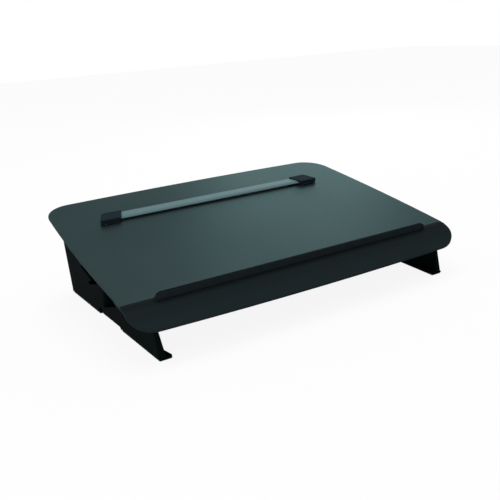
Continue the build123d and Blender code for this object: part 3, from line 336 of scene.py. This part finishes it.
# Pivot screws: cold-headed from wire, with a rounded head and a hexagon socket, and
# plated with zinc. One goes in through each side plate from outside, and the ears
# of the cradle turn on it.
HEAD_SIDES = 40
HEAD_RIM_STEPS = 6
SHANK_SIDES = 24
SHANK_TIP = 0.2  # the shank's rounded tip, as a share of its radius
SHANK_TIP_STEPS = 2
SOCKET_SIDES = 6
SOCKET_RADIUS = 0.5  # as a share of the head's radius
SOCKET_MIDDLE = 0.85  # as a share of the head's height
SMOOTH_UNDER = radians(35)

# The frame comes in selected, and operators act on all that is selected.
for thing in bpy.data.objects:
    thing.select_set(False)


def turned(sides, radius, depth, middle):
    """A plain disc or pin along Z, with its middle at a height."""
    bpy.ops.mesh.primitive_cylinder_add(vertices=sides, radius=radius, depth=depth,
                                        location=(0, 0, middle))
    return bpy.context.object


def round_rim(piece, side, offset, segments):
    """Rounds a turned piece's upper rim, or for side -1 its lower one, and applies its place."""
    bpy.ops.object.mode_set(mode="EDIT")
    bpy.ops.mesh.select_mode(type="EDGE")
    bpy.ops.mesh.select_all(action="DESELECT")
    bpy.ops.object.mode_set(mode="OBJECT")
    for edge in piece.data.edges:
        edge.select = all(piece.data.vertices[i].co.z * side > 0 for i in edge.vertices)
    bpy.ops.object.mode_set(mode="EDIT")
    bpy.ops.mesh.bevel(offset=offset, segments=segments, affect="EDGES")
    bpy.ops.object.mode_set(mode="OBJECT")
    bpy.ops.object.transform_apply(location=True, rotation=False, scale=False)


def hexagon_socket(radius, height):
    """What cuts a hexagon socket into a head of this radius and height."""
    return [turned(SOCKET_SIDES, radius * SOCKET_RADIUS, height, height * SOCKET_MIDDLE)]


def fastener(head_radius, head_height, rim, recess_shape=None, shank_radius=0, length=0):
    """One fastener along Z, with its head over z = 0 and its shank under it."""
    head = turned(HEAD_SIDES, head_radius, head_height, head_height / 2)
    round_rim(head, 1, rim, HEAD_RIM_STEPS)
    cutters = recess_shape(head_radius, head_height) if recess_shape else []
    bpy.context.view_layer.objects.active = head
    for cutter in cutters:
        recess = head.modifiers.new("recess", "BOOLEAN")
        recess.object = cutter
        bpy.ops.object.modifier_apply(modifier=recess.name)
    for cutter in cutters:
        bpy.data.objects.remove(cutter)
    if length:
        shank = turned(SHANK_SIDES, shank_radius, length, -length / 2)
        round_rim(shank, -1, shank_radius * SHANK_TIP, SHANK_TIP_STEPS)
        head.select_set(True)
        bpy.context.view_layer.objects.active = head
        bpy.ops.object.join()
    head.select_set(False)
    return head


def set_in(source, node, body, material, places):
    """Copies a fastener to each place, with its head in the direction given, as one piece."""
    copies = []
    for point, direction in places:
        copy = source.copy()
        copy.data = source.data.copy()
        bpy.context.scene.collection.objects.link(copy)
        copy.location = point
        copy.rotation_euler = Vector(direction).to_track_quat("Z", "Y").to_euler()
        copies.append(copy)
    bpy.data.objects.remove(source)
    for copy in copies:
        copy.select_set(True)
    piece = copies[0]
    bpy.context.view_layer.objects.active = piece
    bpy.ops.object.transform_apply(location=True, rotation=True, scale=True)
    bpy.ops.object.join()
    bpy.ops.object.shade_smooth_by_angle(angle=SMOOTH_UNDER)
    piece.select_set(False)
    piece.name = node + "_turned"
    finish(piece, material)
    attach(piece, body)
    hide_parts(node)


SIDES = (-1, 1)
PLATE_FACE = 0.225  # the side plates' outer faces, from the middle
PIVOT_Y = EDGE.y - 0.0128
PIVOT_Z = 0.0443
pivot_screw = fastener(head_radius=0.0055, head_height=0.0024, rim=0.0012,
                       recess_shape=hexagon_socket, shank_radius=0.003, length=0.0149)
set_in(pivot_screw, "pivot_screws", "stand", zinc_plate,
       [((side * PLATE_FACE, PIVOT_Y, PIVOT_Z), (side, 0, 0)) for side in SIDES])

# Tie screws: two smaller socket screws with the same plate. They go down through
# the ends of the rear tie into the feet.
TIE_X = 0.216
TIE_Y = EDGE.y + 0.252
TIE_TOP = 0.0055
tie_screw = fastener(head_radius=0.0038, head_height=0.0022, rim=0.0011,
                     recess_shape=hexagon_socket, shank_radius=0.002, length=0.0043)
set_in(tie_screw, "tie_screws", "stand", zinc_plate,
       [((side * TIE_X, TIE_Y, TIE_TOP), (0, 0, 1)) for side in SIDES])

# Lip screws: six zinc-plated screws with a cross recess. They go up through the
# tongue of the lip into the board.
LIP_SCREW_XS = (-0.21, -0.126, -0.042, 0.042, 0.126, 0.21)
LIP_SCREW_UP = 0.008
TONGUE_FACE = -0.0046
CROSS_LENGTH = 1.3  # across the head, as shares of its radius
CROSS_WIDTH = 0.26
CROSS_MIDDLE = 0.9  # along it, as shares of its height
CROSS_DEPTH = 0.9


def on_slope(x, up, out):
    """A point of the tilted platform: across, up the slope and over the board, in metres."""
    return EDGE + Vector((x, 0, 0)) + UP * up + OUT * out


def cross_recess(radius, height):
    """What cuts a cross into a head of this radius and height: two bars."""
    cutters = []
    for across, deep in ((CROSS_LENGTH, CROSS_WIDTH), (CROSS_WIDTH, CROSS_LENGTH)):
        bpy.ops.mesh.primitive_cube_add(size=1, location=(0, 0, height * CROSS_MIDDLE))
        bpy.context.object.scale = (radius * across, radius * deep, height * CROSS_DEPTH)
        cutters.append(bpy.context.object)
    return cutters


lip_screw = fastener(head_radius=0.0029, head_height=0.0018, rim=0.0008,
                     recess_shape=cross_recess, shank_radius=0.0015, length=0.0026)
set_in(lip_screw, "lip_screws", "platform", zinc_plate,
       [(on_slope(x, LIP_SCREW_UP, TONGUE_FACE), -OUT) for x in LIP_SCREW_XS])

# Ledge screws: five longer ones with the same recess and plate. They go up through
# the lip into the foot of the paper ledge.
LEDGE_SCREW_XS = (-0.18, -0.09, 0, 0.09, 0.18)
LEDGE_SCREW_UP = -0.0051
LIP_UNDERSIDE = -0.0042
ledge_screw = fastener(head_radius=0.0024, head_height=0.0016, rim=0.0007,
                       recess_shape=cross_recess, shank_radius=0.001, length=0.0092)
set_in(ledge_screw, "ledge_screws", "platform", zinc_plate,
       [(on_slope(x, LEDGE_SCREW_UP, LIP_UNDERSIDE), -OUT) for x in LEDGE_SCREW_XS])

# Rail rivets: zinc-plated, with a low domed head. Three hold each rail down on the
# beams of the cradle, with their heads below.
RAIL_X = 0.15
RIVET_UPS = (0.016, 0.1372, 0.241)
RIVET_FACE = -0.018  # under the tops of the beams
rail_rivet = fastener(head_radius=0.0035, head_height=0.0012, rim=0.0009,
                      shank_radius=0.002, length=0.004)
set_in(rail_rivet, "rail_rivets", "cradle", zinc_plate,
       [(on_slope(side * RAIL_X, up, RIVET_FACE), -OUT) for side in SIDES for up in RIVET_UPS])

# Rod caps: moulded black plastic with a rounded rim and a shallow dish in the face.
# They are pushed on to the ends of the prop rod, outside the hooked slots.
ROD_END = 0.2258
ROD_UP = 0.19904
ROD_OUT = -0.04138
DISH_RADIUS = 0.55  # as a share of the cap's radius
DISH_DEPTH = 0.3  # of the disc that cuts it, half of it in the cap


def dished_face(radius, height):
    """What cuts a shallow dish into a cap of this radius and height."""
    return [turned(HEAD_SIDES, radius * DISH_RADIUS, height * DISH_DEPTH, height)]


rod_cap = fastener(head_radius=0.005, head_height=0.0026, rim=0.0011, recess_shape=dished_face)
set_in(rod_cap, "rod_caps", "prop", cap_plastic,
       [(on_slope(side * ROD_END, ROD_UP, ROD_OUT), (side, 0, 0)) for side in SIDES])

# The floor: a wide white sheet that runs out to the horizon. Seen straight or in a
# reflection it glows white, and it still takes the object's soft shadow.
FLOOR_WIDTH = 12
FLOOR_HEIGHT = -0.0004
FLOOR_GLOW = 0.9  # the glow's share; the rest takes the shadow
bpy.ops.mesh.primitive_plane_add(size=FLOOR_WIDTH, location=(0, 0, FLOOR_HEIGHT))
floor = bpy.context.object
floor.name = "floor"
white, tree, shader, place = new_material("white_floor")
shader.inputs["Base Color"].default_value = (0.8, 0.8, 0.8, 1)
shader.inputs["Roughness"].default_value = 0.9
shader.inputs["Specular IOR Level"].default_value = 0.0


def seen_rays(tree, *kinds):
    """One where a ray comes from the camera or is of one of the other kinds, else zero."""
    rays = tree.nodes.new("ShaderNodeLightPath")
    value = rays.outputs["Is Camera Ray"]
    for kind in kinds:
        either = tree.nodes.new("ShaderNodeMath")
        either.operation = "MAXIMUM"
        tree.links.new(value, either.inputs[0])
        tree.links.new(rays.outputs[kind], either.inputs[1])
        value = either.outputs["Value"]
    return value


def mixed(tree, share, first, second):
    """Mixes two shaders: the first where the share is zero, the second where it is one."""
    mix = tree.nodes.new("ShaderNodeMixShader")
    tree.links.new(share, mix.inputs["Fac"])
    tree.links.new(first, mix.inputs[1])
    tree.links.new(second, mix.inputs[2])
    return mix.outputs["Shader"]


glow = tree.nodes.new("ShaderNodeEmission")
glow.inputs["Strength"].default_value = 1.0
share = tree.nodes.new("ShaderNodeMath")
share.operation = "MULTIPLY"
share.inputs[1].default_value = FLOOR_GLOW
tree.links.new(seen_rays(tree, "Is Glossy Ray", "Is Transmission Ray"), share.inputs[0])
glowing = mixed(tree, share.outputs["Value"], shader.outputs["BSDF"], glow.outputs["Emission"])
tree.links.new(glowing, tree.nodes["Material Output"].inputs["Surface"])
finish(floor, white)

# The surround: white to the camera. It lights the object from all round, mostly
# from above and behind, and what a gloss mirrors of it is brighter to the right.
LIGHT_FROM = (0.15, 0.5, 0.85)
LIGHT_DIM, LIGHT_FULL = 0.04, 1.25
MIRRORED_FROM = (0.94, 0.34, 0)
MIRRORED_DIM, MIRRORED_FULL = 0.68, 1.12
AWAY, TOWARDS = -0.2, 1.0  # how far along these the dim and the full strength are reached
world = bpy.data.worlds.new("studio")
bpy.context.scene.world = world
world.use_nodes = True
tree = world.node_tree
tree.nodes.clear()
output = tree.nodes.new("ShaderNodeOutputWorld")
seen = tree.nodes.new("ShaderNodeBackground")
mirrored = tree.nodes.new("ShaderNodeBackground")
light = tree.nodes.new("ShaderNodeBackground")
for background in (seen, mirrored, light):
    background.inputs["Color"].default_value = (1, 1, 1, 1)
where = tree.nodes.new("ShaderNodeTexCoord").outputs["Generated"]
for background, source, dim, full in ((light, LIGHT_FROM, LIGHT_DIM, LIGHT_FULL),
                                      (mirrored, MIRRORED_FROM, MIRRORED_DIM, MIRRORED_FULL)):
    strength = between(tree, along(tree, where, source), AWAY, TOWARDS, dim, full)
    tree.links.new(strength, background.inputs["Strength"])
glossy = tree.nodes.new("ShaderNodeLightPath").outputs["Is Glossy Ray"]
unseen = mixed(tree, glossy, light.outputs["Background"], mirrored.outputs["Background"])
surround = mixed(tree, seen_rays(tree, "Is Transmission Ray"), unseen, seen.outputs["Background"])
tree.links.new(surround, output.inputs["Surface"])


# The lamps: one large softbox overhead, a small low one in front at the left, and
# one behind at the right for the sheen on the board.
def softbox(name, place, aim, width, height, power):
    """A rectangular lamp at a place, turned towards a point."""
    lamp = bpy.data.lights.new(name, "AREA")
    lamp.shape = "RECTANGLE"
    lamp.size = width
    lamp.size_y = height
    lamp.energy = power
    fitting = bpy.data.objects.new(name, lamp)
    bpy.context.scene.collection.objects.link(fitting)
    fitting.location = place
    fitting.rotation_euler = (Vector(aim) - Vector(place)).to_track_quat("-Z", "Y").to_euler()


softbox("top_softbox", place=(0.1, 0.4, 2.0), aim=(0, 0, 0.06),
        width=1.4, height=1.2, power=12)
softbox("left_softbox", place=(-1.0, -1.05, 0.22), aim=(-0.1, -0.15, 0.05),
        width=0.5, height=0.3, power=4.5)
softbox("back_softbox", place=(1.23, 1.35, 0.97), aim=(0.2, 0.143, 0.118),
        width=0.8, height=0.8, power=5)

# The camera stands where the photographer's did: to the left of the object and
# a little above it, held slightly off level.
YAW = radians(31.207)
PITCH = radians(17.417)
ROLL = radians(-3.686)
DISTANCE = 0.9906
AIM = Vector((-0.02195, EDGE.y + 0.092318, 0.0608))
LENS = 51.228  # in millimetres, as the sensor
SENSOR = 36
looking = Vector((sin(YAW) * cos(PITCH), cos(YAW) * cos(PITCH), -sin(PITCH)))
camera_data = bpy.data.cameras.new("camera")
camera_data.sensor_width = SENSOR
camera_data.lens = LENS
camera = bpy.data.objects.new("camera", camera_data)
bpy.context.scene.collection.objects.link(camera)
camera.location = AIM - looking * DISTANCE
camera.rotation_mode = "QUATERNION"
camera.rotation_quaternion = looking.to_track_quat("-Z", "Y") @ Quaternion((0, 0, 1), ROLL)
bpy.context.scene.camera = camera
bpy.context.scene.view_settings.view_transform = "Standard"
